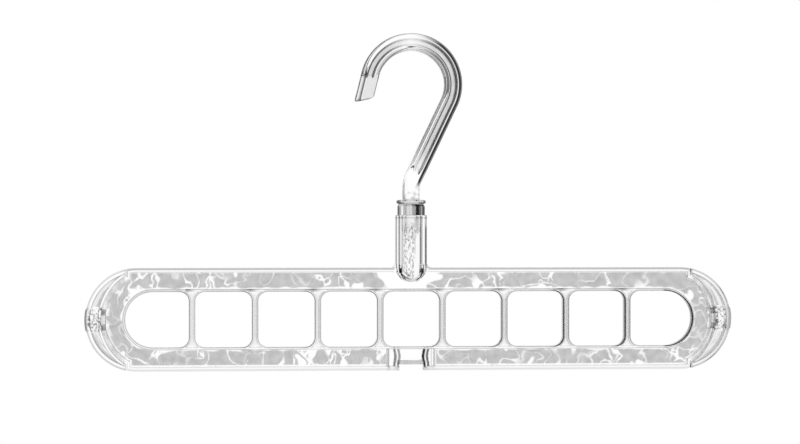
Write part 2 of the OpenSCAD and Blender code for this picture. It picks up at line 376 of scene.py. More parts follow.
def bar_rings():
    """The rings of the bar, from the tip down to the round neck."""
    channel_start = TIP_LEN - CHANNEL_OVER
    leg_end = TIP_LEN + (math.pi - TIP_ANGLE + LEG_ANGLE) * CROOK_R + LEG_LEN
    rings = []
    for x, z, way, run in hook_route():
        half_w = BAR_W / 2 + end_round(TIP_CORNER_R, run)
        half_d = BAR_D / 2 + end_round(TIP_EDGE_R, run)
        into = min(run - channel_start, (leg_end - run) / 4) / CHANNEL_RUNOUT
        channel = ease(into)
        narrow = 0.35 + 0.65 * math.sqrt(1 - (1 - min(max(into, 0), 1)) ** 2)
        roundness = ease((run - leg_end) / (BEND_R * LEG_ANGLE))
        slant = TIP_SLANT * (1 - ease(run / TIP_LEN * 1.4))
        across_x = -math.sin(way) - math.cos(way) * slant
        across_z = math.cos(way) - math.sin(way) * slant
        rings.append([
            (x + u * across_x, v, z + u * across_z)
            for u, v in bar_section(channel, narrow, roundness, half_w, half_d)
        ])
    return rings


def neck_profile():
    """The neck, the flange and the stem with its snap head, as (radius, height) points."""
    half_t = FLANGE_T / 2
    under = FLANGE_Z - FLANGE_T
    fillet = 0.6
    head_edge = 0.3
    end_edge = 0.4
    profile = [(NECK_R, BEND_Z - NECK_LEN * i / 8) for i in range(1, 8)]
    profile += arc(NECK_R + fillet, FLANGE_Z + fillet, fillet, 180, 270, 5)
    profile += arc(FLANGE_R - half_t, FLANGE_Z - half_t, half_t, 90, -90, 12)
    profile += arc(STEM_R + 0.4, under - 0.05, 0.05, 90, 180, 2)
    profile += [(STEM_R, under - 0.3), (STEM_R, SHOULDER_Z + 0.2), (STEM_R + 0.1, SHOULDER_Z)]
    profile += arc(HEAD_R - head_edge, SHOULDER_Z - head_edge, head_edge, 90, 0, 3)
    profile += arc(HEAD_END_R - end_edge, HEAD_Z + end_edge, end_edge, 0, -90, 4)
    return profile


def make_hook():
    """The hook in one piece from tip to snap head, with the slot that splits its head."""
    angles = [math.atan2(v, u) for u, v in bar_section(0, 1, 1, BAR_W / 2, BAR_D / 2)]
    hook = loft("hook_bar", bar_rings() + axis_rings(neck_profile(), angles))
    slot = box(
        "slot",
        (-SLOT_W / 2, -HEAD_R - 1, HEAD_Z - 1),
        (SLOT_W / 2, HEAD_R + 1, SHOULDER_Z + SLOT_RISE),
    )
    combine(hook, [slot], "DIFFERENCE")
    return smooth(hook, 40)


# The swivel bush

def make_bush():
    """The band that shows, with the seat over it and the sleeve under it."""
    e = BUSH_EDGE_R
    top = BUSH_Z - SEAT_H
    profile = arc(SEAT_R - e, BUSH_Z - e, e, 90, 0, 4)
    profile += arc(BAND_R - e, top - e, e, 90, 0, 4)
    profile += arc(BAND_R - e, SOCKET_Z + e, e, 0, -90, 4)
    profile += [(SLEEVE_R, SOCKET_Z)]
    profile += arc(SLEEVE_R - e, SLEEVE_Z + e, e, 0, -90, 4)
    profile += [(BUSH_BORE_R + e, SLEEVE_Z), (BUSH_BORE_R, SLEEVE_Z + e)]
    profile += [(BUSH_BORE_R, BUSH_Z - e), (BUSH_BORE_R + e, BUSH_Z)]
    return smooth(loft("swivel_bush_ring", axis_rings(profile, full_turn(144)), wrap=True), 40)


# The frame

OVERLAP = 0.5
RIPPLE_H = 0.16
STREAK_H = 0.14
BACK_SHARE = 0.6
FAR = 1e9
LONG_SIDE = 4.8
AXIS_R = 0.01


def stadium(cx, r, end_steps=72, side_steps=220):
    """A long outline with round ends, from its lower right corner up and round."""
    right = arc(cx, 0, r, -90, 90, end_steps)
    top = line(right[-1], (-cx, r), side_steps)[1:]
    left = arc(-cx, 0, r, 90, 270, end_steps)
    bottom = line(left[-1], (cx, -r), side_steps)[1:]
    return right + top + left + bottom


def frame_outline(inset):
    """The frame's outline with its horns, made smaller all round."""
    r = HALF_H - inset
    cut = SEAM_X - inset
    horn = math.degrees(math.acos((cut - CAP_X) / r))
    wall = math.degrees(math.acos((cut - END_X) / r))
    horn_end = (CAP_X + r * math.cos(math.radians(horn)), r * math.sin(math.radians(horn)))
    wall_top = (cut, r * math.sin(math.radians(wall)))
    right = arc(CAP_X, 0, r, -90, -horn, 24)[:-1]
    right += line((cut, -horn_end[1]), (cut, -wall_top[1]), 6)
    right += arc(END_X, 0, r, -wall, wall, 64)
    right += line(wall_top, (cut, horn_end[1]), 6)[1:]
    right += arc(CAP_X, 0, r, horn, 90, 24)
    top = line((CAP_X, r), (-CAP_X, r), 240)[1:]
    left = [(-x, -z) for x, z in right]
    bottom = line((-CAP_X, -r), (CAP_X, -r), 240)[1:]
    return right + top + left + bottom


def square_port(cx, grow):
    """A square port's outline, made larger all round."""
    r = PORT_CORNER_R + grow
    w = PORT_W / 2 + grow - r
    h = PORT_H / 2 + grow - r
    corners = [(w, h, 0), (-w, h, 90), (-w, -h, 180), (w, -h, 270)]
    points = []
    for x, z, start in corners:
        points += arc(cx + x, z, r, start, start + 90, 14)
    return spread(points)


def end_port(side, grow):
    """An end port's outline, with its round end outwards, made larger all round."""
    r = PORT_CORNER_R + grow
    h = PORT_H / 2 + grow
    inner = ROW_END + PORT_CORNER_R
    points = arc(END_X, 0, h, -90, 90, 48)
    points += arc(inner, h - r, r, 90, 180, 14)
    points += arc(inner, r - h, r, 180, 270, 14)
    return [(side * x, z) for x, z in spread(points)]


def spread(points):
    """Adds points along the long sides of a closed outline."""
    out = []
    for i, a in enumerate(points):
        b = points[(i + 1) % len(points)]
        steps = 16 if math.hypot(b[0] - a[0], b[1] - a[1]) > LONG_SIDE else 1
        out += line(a, b, steps)
    return out


def port_outlines(grow):
    """The square ports' outlines from left to right, then the right end's and the left end's."""
    middle = (SQUARE_PORTS - 1) / 2
    outlines = [square_port((i - middle) * PITCH, grow) for i in range(SQUARE_PORTS)]
    return outlines + [end_port(1, grow), end_port(-1, grow)]


def wave(x, z, layer):
    """Smooth noise at a place, about -0.5 to 0.5; each layer has a pattern of its own."""
    return noise.noise(Vector((x, z, layer)))


def ripple(x, z):
    """The moulded ripple's height, from -1 to 1, and how much of a white streak it is, 0 to 1."""
    u = x + 4.5 * wave(x / 8, z / 8, 3.1) + 1.1 * wave(x / 2.6, z / 2.6, 1.3)
    w = z + 4.5 * wave(x / 8, z / 8, 7.7) + 1.1 * wave(x / 2.6, z / 2.6, 8.3)
    field = wave(u / 9.5, w / 8.0, 0.4)
    other = wave(u / 6.0, w / 9.5, 4.6)
    busy = ease((wave(x / 17, z / 17, 6.2) + 0.28) / 0.4)
    thick = 0.5 + 1.4 * ease((wave(x / 4.2, z / 4.2, 2.2) + 0.25) / 0.6)
    first = 1 - ease((abs(field - 0.05) - 0.028 * thick) / 0.035)
    second = (1 - ease((abs(other - 0.12) - 0.03 * thick) / 0.035)) * busy
    blot = ease((field + other - 0.72) / 0.1)
    return field + 0.3 * other, max(first * (0.35 + 0.65 * busy), second, blot)


def web_ways():
    """Lines across the web, from the ring of lips out to the rim, once round the frame."""
    inner_r = PORT_H / 2 + LIP_T * 0.4
    inset = RIM_T - OVERLAP
    r = HALF_H - inset
    cut = SEAM_X - inset
    ways = []
    sides = 700
    for i in range(sides):
        x = -END_X + 2 * END_X * i / sides
        ways.append(((x, inner_r), (x, r)))
    steps = 170
    for i in range(steps):
        a = math.pi / 2 - math.pi * i / steps
        c = math.cos(a)
        s = abs(math.sin(a))
        flat = r / s if s > 0.01 else FAR
        if END_X + flat * c > CAP_X:
            b = c * (END_X - CAP_X)
            flat = -b + math.sqrt(b * b - CAP_REACH**2 + r * r)
        horn = min(flat, (cut - END_X) / c if c > 0.01 else FAR)
        reach = max(r, horn)
        ways.append((
            (END_X + inner_r * c, inner_r * math.sin(a)),
            (END_X + reach * c, reach * math.sin(a)),
        ))
    return ways + [((-a[0], -a[1]), (-b[0], -b[1])) for a, b in ways]


def band_faces(columns, rows):
    """Faces of a closed band with a front and a back: columns once round, rows across."""
    width = rows + 1
    count = columns * width
    faces = []
    for i in range(columns):
        a = i * width
        b = (i + 1) % columns * width
        for j in range(rows):
            faces.append((a + j, a + j + 1, b + j + 1, b + j))
            faces.append((count + a + j, count + b + j, count + b + j + 1, count + a + j + 1))
        faces.append((a, b, count + b, count + a))
        faces.append((a + rows, count + a + rows, count + b + rows, b + rows))
    return faces


def rippled_web():
    """The web between the outer rim and the ring of lips, with rippled faces."""
    ways = web_ways()
    rows = 26
    front = []
    for start, end in ways:
        for j in range(rows + 1):
            t = j / rows
            x = start[0] + (end[0] - start[0]) * t
            z = start[1] + (end[1] - start[1]) * t
            height, streak = ripple(x, z)
            front.append((x, z, RIPPLE_H * height + STREAK_H * streak))
    points = [(x, -WEB_T / 2 - h, FRAME_Z + z) for x, z, h in front]
    points += [(x, WEB_T / 2 + BACK_SHARE * h, FRAME_Z + z) for x, z, h in front]
    return mesh_object("rippled_web", points, band_faces(len(ways), rows))


def stadium_gap(x, z, cx, r):
    """How far points lie inside a stadium's edge; negative outside."""
    return r - np.hypot(np.maximum(np.abs(x) - cx, 0), z)


def outline_gap(x, z):
    """How far points lie inside the frame's outline."""
    horns = np.minimum(stadium_gap(x, z, CAP_X, HALF_H), SEAM_X - np.abs(x))
    return np.maximum(stadium_gap(x, z, END_X, HALF_H), horns)


def box_gap(x, z, half_w, half_h, r):
    """How far points lie outside a rectangle with round corners."""
    u = np.abs(x) - half_w + r
    v = np.abs(z) - half_h + r
    return np.hypot(np.maximum(u, 0), np.maximum(v, 0)) + np.minimum(np.maximum(u, v), 0) - r


def port_gap(x, z):
    """How far points lie outside the nearest port; negative inside a port."""
    half_row = (SQUARE_PORTS - 1) / 2 * PITCH
    nearest = np.clip(np.round(x / PITCH) * PITCH, -half_row, half_row)
    gap = box_gap(x - nearest, z, PORT_W / 2, PORT_H / 2, PORT_CORNER_R)
    across = np.abs(x)
    flat = box_gap(across - END_X, z, END_PORT_LEN, PORT_H / 2, PORT_CORNER_R)
    round_end = np.hypot(across - END_X, z) - PORT_H / 2
    return np.minimum(gap, np.where(across > END_X, round_end, flat))


def divider_web():
    """The thin web inside the ring of lips, at the dividers and their heads."""
    ring = PORT_H / 2 + LIP_T * 0.6
    loops = [stadium(END_X, ring, 48, 60)] + port_outlines(LIP_T / 2)
    points = []
    edges = []
    for loop in loops:
        start = len(points)
        points += loop
        edges += [(start + i, start + (i + 1) % len(loop)) for i in range(len(loop))]
    flat, _, triangles, _, _, _ = delaunay_2d_cdt([Vector(p) for p in points], edges, [], 0, 1e-5)
    corners = np.array([[tuple(flat[v]) for v in t] for t in triangles])
    x, z = corners.mean(axis=1).T
    kept = (stadium_gap(x, z, END_X, ring) > 0) & (port_gap(x, z) > LIP_T / 2)
    triangles = [tuple(t) for t, keep in zip(triangles, kept) if keep]
    return plate("divider_web", [tuple(p) for p in flat], triangles, WEB_T / 2)


def plate(name, flat, triangles, half_t):
    """A flat plate from triangles in X and Z round the frame's middle."""
    used = sorted({v for t in triangles for v in t})
    place = {v: i for i, v in enumerate(used)}
    count = len(used)
    points = [(flat[v][0], -half_t, FRAME_Z + flat[v][1]) for v in used]
    points += [(flat[v][0], half_t, FRAME_Z + flat[v][1]) for v in used]
    tops = [tuple(place[v] for v in t) for t in triangles]
    sides = dict.fromkeys((a, b) for t in tops for a, b in zip(t, t[1:] + t[:1]))
    faces = tops + [tuple(count + v for v in reversed(t)) for t in tops]
    faces += [(b, a, count + a, count + b) for a, b in sides if (b, a) not in sides]
    return mesh_object(name, points, faces)


def lips():
    """The ring round the whole row and the lip round each port."""
    profile = bead(LIP_T, LIP_D, LIP_EDGE_R)
    ring = swept_loop("lip_ring", lambda g: stadium(END_X, PORT_H / 2 + g), profile)
    pieces = [ring]
    for i in range(SQUARE_PORTS + 2):
        pieces.append(swept_loop("lip", lambda g, i=i: port_outlines(g)[i], profile))
    return pieces


def catch_ribs():
    """The ribs beside the notch and the bar over it."""
    ribs = []
    half = RIM_D / 2
    outer_foot = RIM_T / 2 - HALF_H
    for side in (-1, 1):
        x = side * (CATCH_W + CATCH_RIB_T) / 2
        sway = side * RIB_SWAY
        ribs.append(rib("catch_rib", x, CATCH_RIB_T, RIB_FOOT - HALF_H, half - 0.1, sway))
        ribs.append(rib("outer_rib", side * OUTER_RIB_X, OUTER_RIB_T, outer_foot, half - 0.4, 0))
    bar_profile = bead(CATCH_BAR_T, RIM_D - 0.2, CATCH_EDGE_R)
    rings = []
    for x, _ in line((-CATCH_W / 2 - 0.6, 0), (CATCH_W / 2 + 0.7, 0), 24):
        rings.append([(x, y, FRAME_Z + NOTCH_Z + across) for across, y in bar_profile])
    ribs.append(loft("catch_bar", rings))
    return ribs


def rib(name, x, thickness, low, half_d, sway):
    """An upright rib with rounded edges, up to the lips, which may sway along its height."""
    profile = bead(thickness, 2 * half_d, min(CATCH_EDGE_R, thickness * 0.4))
    rings = []
    for i in range(25):
        t = i / 24
        z = low + (RIB_TOP_Z - low) * t
        shift = x - thickness / 2 + sway * math.sin(t * RIB_HALF_WAVES * math.pi)
        rings.append([(shift + across, y, FRAME_Z + z) for across, y in profile])
    return loft(name, rings)


def foot_fillets():
    """The fillets where the socket's tube meets the top rim."""
    tube_x = math.sqrt(SOCKET_R**2 - (RIM_D / 2) ** 2) - OVERLAP
    reach = SOCKET_R + FOOT_FILLET_R
    low = HALF_H - OVERLAP
    high = HALF_H + FOOT_FILLET_R
    curve = arc(reach, high, FOOT_FILLET_R, 180, 270, 10)
    outline = [(tube_x, low), (tube_x, high)] + curve + [(reach, low)]
    half = RIM_D / 2 - 0.2
    pieces = []
    for side in (-1, 1):
        rings = [[(side * x, y, FRAME_Z + z) for x, z in outline] for y in (-half, half)]
        pieces.append(loft("foot_fillet", rings))
    return pieces


def socket():
    """The socket's tube with its round foot."""
    e = SOCKET_EDGE_R
    profile = arc(SOCKET_R - e, SOCKET_Z - e, e, 90, 0, 6)
    profile = [(AXIS_R, SOCKET_Z)] + profile
    profile += [(SOCKET_R, z) for _, z in line((0, SOCKET_Z - e), (0, SOCKET_BALL_Z), 36)[1:]]
    profile += arc(0, SOCKET_BALL_Z, SOCKET_R, 0, -89.5, 30)
    return turned("socket", profile)


def bore():
    """The socket's bore with its chamfered mouth and round floor, as the shape to cut."""
    e = BORE_EDGE
    mouth_r = SOCKET_BORE_R + e
    profile = [(AXIS_R, SOCKET_Z + 1), (mouth_r, SOCKET_Z + 1), (mouth_r, SOCKET_Z)]
    profile += [(SOCKET_BORE_R, z) for _, z in line((0, SOCKET_Z - e), (0, BORE_BALL_Z), 48)]
    profile += arc(0, BORE_BALL_Z, SOCKET_BORE_R, 0, -89.5, 24)
    return turned("bore", profile)


def latch_cuts():
    """The slots that take the caps' tongues, and the notch in the bottom rim."""
    half_slot = LATCH_H / 2 + CAP_GAP
    half_window = half_slot + BARB
    depth = LATCH_D / 2 + CAP_GAP
    start = LATCH_WALL_X - BARB_LEN - 3 * CAP_GAP
    cuts = [box(
        "notch",
        (-CATCH_W / 2, -RIM_D, FRAME_Z - HALF_H - 1),
        (CATCH_W / 2, RIM_D, FRAME_Z + NOTCH_Z),
    )]
    for side in (-1, 1):
        x = side * start
        outside = side * (END_X + HALF_H + 1)
        for rise in (-LATCH_Z, LATCH_Z):
            z = FRAME_Z + rise
            cuts.append(centred_box("slot", x, outside, depth, z, half_slot))
            cuts.append(centred_box("window", x, side * LATCH_WALL_X, depth, z, half_window))
    return cuts


def make_frame():
    """The frame as one moulding: everything that stands, less everything that is cut."""
    rim = swept_loop("frame_shell", frame_outline, bead(RIM_T, RIM_D, RIM_EDGE_R))
    shell = union([rim, divider_web(), socket()] + lips() + catch_ribs() + foot_fillets())
    cuts = union(latch_cuts() + [bore()])
    combine(shell, [rippled_web()], "UNION")
    combine(shell, [cuts], "DIFFERENCE")
    return smooth(shell, 35)


# The end caps

MIRROR_X = ((-1, 0, 0, 0), (0, 1, 0, 0), (0, 0, 1, 0), (0, 0, 0, 1))


def crescent(outer, inner):
    """The right cap's outline as its outer arc and its inner arc, made smaller all round."""
    cut = SEAM_X + CAP_GAP + inner
    r_out = HALF_H - outer
    r_in = HALF_H + CAP_GAP + inner
    far = math.degrees(math.acos((cut - CAP_X) / r_out))
    close = math.degrees(math.acos((cut - END_X) / r_in))
    return arc(CAP_X, 0, r_out, -far, far, 72), arc(END_X, 0, r_in, close, -close, 72)


def cap_wall(share):
    """The right cap's outline, drawn in by this share of its walls' thickness."""
    outer, inner = crescent(RIM_T * share, CAP_WALL_T * share)
    top = line(outer[-1], inner[0], 3)[1:]
    bottom = line(inner[-1], outer[0], 3)[1:]
    return outer + top + inner + bottom


def strip(name, outer, inner, half_t, wavy=0.0):
    """A plate between two arcs of as many points, with its inner arc given from the other end."""
    inner = inner[::-1]
    rows = 16
    flat = []
    for (x1, z1), (x2, z2) in zip(outer, inner):
        flat += [(x1 + (x2 - x1) * j / rows, z1 + (z2 - z1) * j / rows) for j in range(rows + 1)]
    width = rows + 1
    quads = []
    for i in range(len(outer) - 1):
        for j in range(rows):
            a = i * width + j
            quads.append((a, a + 1, a + width + 1, a + width))
    piece = plate(name, flat, quads, half_t)
    if wavy:
        for vertex in piece.data.vertices:
            x, _, z = vertex.co / MM
            lift = wavy * wave(x / 4, z / 7, 9.1)
            vertex.co.y += math.copysign(lift * MM, vertex.co.y)
    return piece


def middle_block(name, half_h, outer, inner, half_d):
    """A block at the cap's middle, between two arcs that are each given as (centre, radius)."""
    heights = [-half_h + 2 * half_h * i / 24 for i in range(25)]
    arcs = [[(cx + math.sqrt(r**2 - z * z), z) for z in heights] for cx, r in (outer, inner)]
    return strip(name, arcs[0], arcs[1][::-1], half_d)


def cap_tongues():
    """The right cap's two tongues, which lie in the frame's slots, and the barbs on their ends."""
    tip = LATCH_WALL_X - CAP_GAP - BARB_LEN
    root = END_X + HALF_H + CAP_GAP + CAP_WALL_T
    half_h = LATCH_H / 2
    tongues = []
    for rise in (-LATCH_Z, LATCH_Z):
        z = FRAME_Z + rise
        tongues.append(centred_box("tongue", tip, root, LATCH_D / 2, z, half_h))
        tongues.append(centred_box("barb", tip, tip + BARB_LEN, LATCH_D / 2, z, half_h + BARB))
    return tongues


def make_cap(name, side):
    """An end cap, drawn as the right one and mirrored for the left."""
    cap = swept_loop("cap", cap_wall, bead(1.0, RIM_D, CAP_EDGE))
    outer, inner = crescent(RIM_T / 2, CAP_WALL_T / 2)
    web = strip("cap_web", outer, inner, CAP_WEB_T / 2, 0.15)
    rim_arc = (CAP_X, HALF_H - RIM_T / 2)
    wall_arc = (END_X, HALF_H + CAP_GAP + CAP_WALL_T / 2)
    pad_arc = (CAP_X, HALF_H + PAD_PROUD)
    tab = middle_block("tab", TAB_H / 2, rim_arc, wall_arc, TAB_D / 2)
    pad = middle_block("pad", TAB_H / 2 - CAP_WALL_T, pad_arc, rim_arc, RIM_D / 2 - 0.3)
    combine(cap, [web, tab, pad] + cap_tongues(), "UNION")
    cap.name = name
    if side < 0:
        cap.data.transform(MIRROR_X)
        cap.data.flip_normals()
    return smooth(cap, 35)


# Grain and painted shade, kept on the meshes for the materials. Places, widths and margins are in
# millimetres, and the factors that lines are multiplied by are their strengths.

# The clear patch round the socket's foot
CLEAR_X = -2
CLEAR_DROP = 3
CLEAR_HALF_W = 16
CLEAR_HALF_H = 13


def mark(piece, name, values):
    """Keeps one number per point on the mesh, under a name that a material reads."""
    attribute = piece.data.attributes.new(name, "FLOAT", "POINT")
    attribute.data.foreach_set("value", np.clip(values, 0, 1).astype(np.float32))


def points_of(piece):
    """A mesh's points in millimetres, as x, y and z from the frame's middle."""
    co = np.empty(len(piece.data.vertices) * 3)
    piece.data.vertices.foreach_get("co", co)
    x, y, z = co.reshape(-1, 3).T / MM
    return x, y, z - FRAME_Z


def fade(values, low, high):
    """0 at low, 1 at high, and smooth between, also where low is the larger."""
    t = np.clip((values - low) / (high - low), 0, 1)
    return t * t * (3 - 2 * t)


def near(values, place, reach):
    """1 at a place, falling to 0 at its reach on either side."""
    return fade(reach - np.abs(values - place), 0, reach)


def band(values, place, half, soft):
    """1 within half of a place, falling to 0 over a soft margin."""
    return fade(half + soft - np.abs(values - place), 0, soft)


def drawn(values, lines):
    """Several bands together, each as (place, half width, soft margin, strength)."""
    return sum(band(values, place, half, soft) * strength for place, half, soft, strength in lines)


def speckle(x, y, z, size, tall, layer):
    """Noise at each point, about -0.5 to 0.5, in specks of this size and this much taller."""
    return np.array([wave(a / size, c / size / tall, layer + b / size) for a, b, c in zip(x, y, z)])


def web_grain_and_painted_shade(x, y, z):
    """Grain between the rim and the ports, clear in the streaks and round the socket's foot; the
    material greys it as painted shade.
    """
    under = z < 0
    streaks = np.array([ripple(u, w)[1] for u, w in zip(x, z)])
    ragged = np.array([wave(a / 5, b / 5, 1.9) for a, b in zip(x, z)])
    from_rim = outline_gap(x, z) - RIM_T - np.where(under, 0.6, 0)
    on_web = fade(WEB_T / 2 + 0.6 - np.abs(y), 0, 0.1) * fade(from_rim, 0, 0.5)
    ring = stadium_gap(x, z, END_X, PORT_H / 2 + LIP_T)
    outside_ring = fade(ragged - ring + np.where(under, 0.4, 0), 0.6, 1.3)
    from_row = stadium_gap(x, z, END_X, PORT_H / 2)
    heads = fade(from_row, 0, 0.3) * fade(port_gap(x, z), LIP_T, LIP_T + 0.3)
    patch = np.hypot((x - CLEAR_X) / CLEAR_HALF_W, (z - HALF_H + CLEAR_DROP) / CLEAR_HALF_H)
    past_patch = fade(patch + 0.45 * ragged, 0.9, 1.0)
    catch = (np.abs(x) < OUTER_RIB_X + 0.8) & under
    return on_web * (outside_ring * past_patch * ~catch * (1 - streaks) + heads * 0.9)


def port_painted_shade(x, y, z):
    """Painted shade lines on the lips: the right side of each port is the darkest, more so to the
    right.
    """
    port = port_gap(x, z)
    ring = stadium_gap(x, z, END_X, PORT_H / 2 + LIP_T)
    middle = np.clip(np.round(x / PITCH) * PITCH, -ROW_END - PITCH / 2, ROW_END + PITCH / 2)
    right_wall = fade(np.where(np.abs(x) > END_X, x, x - middle), 6, 13)
    rightward = np.clip(x / END_X, 0, 1)
    at_face = fade(np.abs(y), LIP_D / 2 - 0.8, LIP_D / 2 - 0.3)
    face_line = at_face * (0.6 + right_wall * (0.25 + 0.35 * rightward))
    walls = band(port, 0.15, 0.3, 0.3) * np.maximum(face_line, right_wall * 0.6 * rightward)
    walls += near(port, LIP_T, 0.3) * 0.15 + near(ring, 0, 0.4) * 0.35
    return walls + band(ring, 0.3, 0.4, 0.3) * top_dashes(x, z) * 0.65


def top_dashes(x, z):
    """The parts of the ring's top that get painted shade: a dash at the left of each divider."""
    from_divider = (x / PITCH - 0.5 - np.round(x / PITCH - 0.5)) * PITCH
    return near(from_divider, -2.5, 5.5) * (z > 0) * (np.abs(x) < ROW_END + 2)


def catch_painted_shade(x, z):
    """Painted shade lines down the walls of the ribs beside the notch."""
    beside = (z < -PORT_H / 2 - LIP_T) * fade(outline_gap(x, z), 0.4, 2.2)
    right = x > 0
    low = RIB_FOOT - HALF_H
    up_rib = (z - low) / (RIB_TOP_Z - low)
    inner = np.abs(x) - RIB_SWAY * np.sin(up_rib * RIB_HALF_WAVES * math.pi)
    rib_side = CATCH_W / 2 + CATCH_RIB_T
    walls = drawn(inner, [
        (CATCH_W / 2, 0.4, 0.35, np.where(right, 1, 0.8)),
        (rib_side, 0.4, 0.35, np.where(right, 0.95, 0.7)),
    ])
    walls += band(np.abs(x), OUTER_RIB_X - 0.5, 0.2, 0.3) * np.where(right, 0.3, 0.8)
    walls += band(x, (rib_side + OUTER_RIB_X) / 2, 0.2, 0.3) * 0.3
    return beside * walls


def socket_painted_shade(x, y, height):
    """Painted shade lines on the socket's front: three down its left, a wide one down its right, a
    rim.
    """
    sunk = np.minimum(height - SOCKET_BALL_Z, 0)
    inside = SOCKET_R - np.hypot(x, sunk)
    outer = np.hypot(np.hypot(x, sunk), y) > SOCKET_R - 0.5
    left = [(0.5, 0.15, 0.2, 0.6), (1.75, 0.2, 0.3, 0.97), (3.5, 0.12, 0.25, 0.75)]
    strength = 0.7 + 0.28 * band(height, -87, 9, 3)
    lines = fade(-x, -1, 2) * drawn(inside, left)
    lines += fade(x, 3, 5) * band(inside, 1.1, 0.55, 0.25) * strength
    lines += band(height, SOCKET_Z - 1.6, 0.15, 0.3) * 0.5
    return lines * outer * (y < 0)


def bore_grain_and_shade_marks(x, y, height):
    """Grain and painted shade for the bore's front: upright specks on its left, one line near its
    middle.
    """
    from_axis = np.hypot(np.hypot(x, y), np.minimum(height - BORE_BALL_Z, 0))
    on_bore = (np.abs(from_axis - SOCKET_BORE_R) < 0.1) & (height > RAIL_Z - SOCKET_SINK) & (y < 0)
    left = fade(1.1 - x, 0, 0.3) * fade(x + 4, 0, 0.6) * fade(SOCKET_Z - 3 - height, 0, 4)
    specks = speckle(x, y, height, 0.7, 2.2, 5.1)
    shade_line = band(x, 1.3, 0.1, 0.15) * band(height, -82, 9, 1) * 0.7
    dark = left * fade(specks, 0.12, 0.3) * 0.6 + shade_line
    return on_bore * left * fade(specks, -0.2, 0.1), on_bore * dark


def end_walls(x, y, z):
    """Blotchy grain on the frame's end walls, which the caps lie over; the material greys it as
    painted shade.
    """
    walls = fade(np.abs(x) - SEAM_X, 0, 1) * (outline_gap(x, z) < RIM_T + 0.4)
    return walls * (0.4 + 0.45 * fade(speckle(x, y, z, 1.5, 3, 7.2), -0.15, 0.15))


def rim_painted_shade(x, y, z):
    """A painted shade line along the rim's outer edge, more so on top, and a faint one inside it."""
    rim = outline_gap(x, z)
    lines = band(rim, 0.2, 0.65, 0.6) * np.where(z < 0, 0.25, 0.56) + near(rim, RIM_T, 0.4) * 0.15
    at_face = fade(np.abs(y), RIM_D / 2 - 0.9, RIM_D / 2 - 0.4)
    return lines * fade(SEAM_X - np.abs(x), 0.3, 1) * at_face


def mark_frame(shell):
    """Grain with painted grey shade on the rippled web, and painted shade on the walls that light
    runs into.
    """
    x, y, z = points_of(shell)
    height = z + FRAME_Z
    in_socket = (np.abs(x) < SOCKET_R + 0.3) & (height > RAIL_Z - SOCKET_SINK - 0.1)
    on_tube = in_socket & (np.hypot(x, y) < SOCKET_R + 0.1)
    bore_grain_and_painted_shade, bore_painted_shade = bore_grain_and_shade_marks(x, y, height)
    half_bar = CATCH_BAR_T / 2
    bar_face = (np.abs(x) < CATCH_W / 2 + 1) * band(z, NOTCH_Z + half_bar, half_bar, 0.1)
    grain_and_painted_shade = web_grain_and_painted_shade(x, y, z) + bar_face * 0.9 + end_walls(x, y, z)
    mark(shell, "grain_and_painted_shade", np.where(on_tube, bore_grain_and_painted_shade, grain_and_painted_shade))
    # Painted shade along the rim, on the ports' lips and on the catch's ribs; the socket's and the
    # bore's painted shade join it below.
    walls = rim_painted_shade(x, y, z) + port_painted_shade(x, y, z) + catch_painted_shade(x, z)
    walls *= (z < HALF_H + 0.2) & ~in_socket
    mark(shell, "edge", walls + bore_painted_shade + socket_painted_shade(x, y, height) * in_socket)


def across_bar(x, z):
    """How far points lie across the hook's bar, positive outside, and its outward X share there."""
    turn = np.arctan2(z, x)
    cut, tip_cut = math.cos(LEG_ANGLE), math.cos(TIP_ANGLE)
    down, tip_up = math.sin(LEG_ANGLE), math.sin(TIP_ANGLE)
    leg_x, leg_z = x - CROOK_R * cut, z + CROOK_R * down
    tip_x, tip_z = x + CROOK_R * tip_cut, z - CROOK_R * tip_up
    on_leg = (leg_x * down + leg_z * cut < 0) & (x > -CROOK_R / 2)
    on_tip = (tip_x * tip_up + tip_z * tip_cut < 0) & (x < -CROOK_R / 2)
    across = np.hypot(x, z) - CROOK_R
    across = np.where(on_leg, leg_x * cut - leg_z * down, across)
    across = np.where(on_tip, tip_z * tip_up - tip_x * tip_cut, across)
    outward = np.where(on_leg, cut, np.where(on_tip, -tip_cut, np.cos(turn)))
    return across, outward, on_tip


def side_painted_shade(y, across, outward, on_tip):
    """Painted shade on the bar's sides as two marks: a wide one where a side faces right, and a thin
    one.
    """
    to_side = BAR_W / 2 - np.abs(across)
    wide = band(to_side, np.where(y < 0, 1.4, 1.0), 0.65, 0.15) + fade(1.2 - to_side, 0, 0.3) * 0.75
    wide *= fade(np.sign(across) * outward, 0.0, 0.6) * np.where(across > 0, 1, 0.6) * ~on_tip
    thin = fade(0.9 - to_side, 0, 0.5) * np.where(on_tip, 0.99, 0.95 - 0.5 * (across < 0))
    return wide, thin


def tip_painted_shade(x, z, across, at_face):
    """Painted shade lines on the tip: one down its face, and one along its slanted end."""
    tip_x = x + CROOK_R * math.cos(TIP_ANGLE)
    tip_z = z - CROOK_R * math.sin(TIP_ANGLE)
    past_crook = tip_x * math.sin(TIP_ANGLE) + tip_z * math.cos(TIP_ANGLE)
    end = fade(past_crook + TIP_LEN + TIP_SLANT * across, 0.9, 0.3) * 0.85
    return band(across, 2.3, 0.35, 0.3) * at_face * 0.97 + end


def flange_painted_shade(x, y, z):
    """Painted shade: dark ends and a dark lower edge on the flange, and dark blots on the neck just
    over it.
    """
    flange = (z < FLANGE_Z + 0.1) & (z > FLANGE_Z - FLANGE_T - 0.1) & (np.hypot(x, y) > NECK_R)
    ends = fade(np.abs(x), 5.6, 7) + near(z, FLANGE_Z - FLANGE_T, 1.1)
    shade_blots = fade(speckle(x, y, z, 1.5, 1.3, 3.3), 0.1, 0.3) * band(z, FLANGE_Z + 2, 1.5, 1.5)
    return flange * ends * 0.85 + shade_blots * (z < BEND_Z) * 0.5


